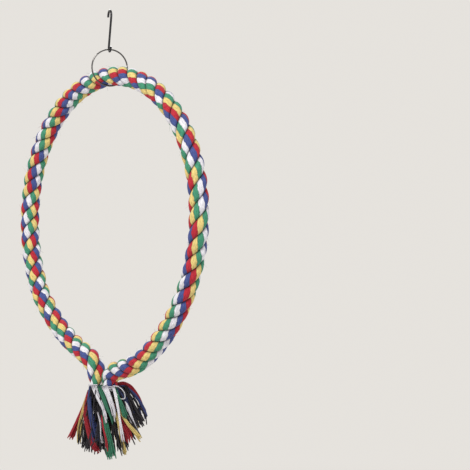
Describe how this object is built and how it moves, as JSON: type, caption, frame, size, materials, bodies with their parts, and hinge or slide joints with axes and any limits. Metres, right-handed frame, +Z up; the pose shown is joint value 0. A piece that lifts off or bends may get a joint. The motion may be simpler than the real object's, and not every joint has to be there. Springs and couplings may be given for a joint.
{
  "type": "bird swing",
  "caption": "Hanging swing for a pet bird: a round loop of thick multicoloured laid cotton rope on a wire ring and an S-hook, its tied ends undone into a tassel.",
  "frame": {"origin": "top inside of the S-hook's upper bend, where the cage bar bears", "axes": "+Z up, against gravity; the rope loop lies in the XZ plane and hangs below the origin; +Y is square to the loop"},
  "size_m": [0.3088, 0.061, 0.4449],
  "materials": {
    "hook_steel": "polished round wire with fine drawing lines",
    "ring_nickel": "bright nickel-plated wire",
    "core_steel": "plain annealed wire",
    "rope_cotton": "matte spun cotton in red, blue, white, green and yellow yarns",
    "binding_cotton": "matte cotton cord",
    "cotton_white": "matte spun cotton",
    "cotton_green": "matte spun cotton",
    "cotton_yellow": "matte spun cotton",
    "cotton_red": "matte spun cotton",
    "cotton_blue": "matte spun cotton",
    "cotton_charcoal": "matte spun cotton"
  },
  "bodies": {
    "hook": {"s_hook": "hook_steel"},
    "ring": {"hanging_ring": "ring_nickel"},
    "loop": {"core_wire": "core_steel", "rope_strand_1": "rope_cotton", "rope_strand_2": "rope_cotton", "rope_strand_3": "rope_cotton", "neck_binding": "binding_cotton", "front_tassel_white": "cotton_white", "front_tassel_green": "cotton_green", "front_tassel_yellow": "cotton_yellow", "front_tassel_red": "cotton_red", "front_tassel_blue": "cotton_blue", "front_tassel_charcoal": "cotton_charcoal", "back_tassel_white": "cotton_white", "back_tassel_green": "cotton_green", "back_tassel_yellow": "cotton_yellow", "back_tassel_red": "cotton_red", "back_tassel_blue": "cotton_blue", "back_tassel_charcoal": "cotton_charcoal"}
  },
  "joints": [
    {"name": "ring_sway", "type": "hinge", "parent": "hook", "child": "ring", "pos_m": [0, 0, -0.03813], "axis": [0.342, 0.9397, 0], "range_deg": [-60, 60]},
    {"name": "loop_swing", "type": "hinge", "parent": "ring", "child": "loop", "pos_m": [0, 0, -0.05638], "axis": [0.9397, -0.342, 0], "range_deg": [-60, 60]}
  ]
}
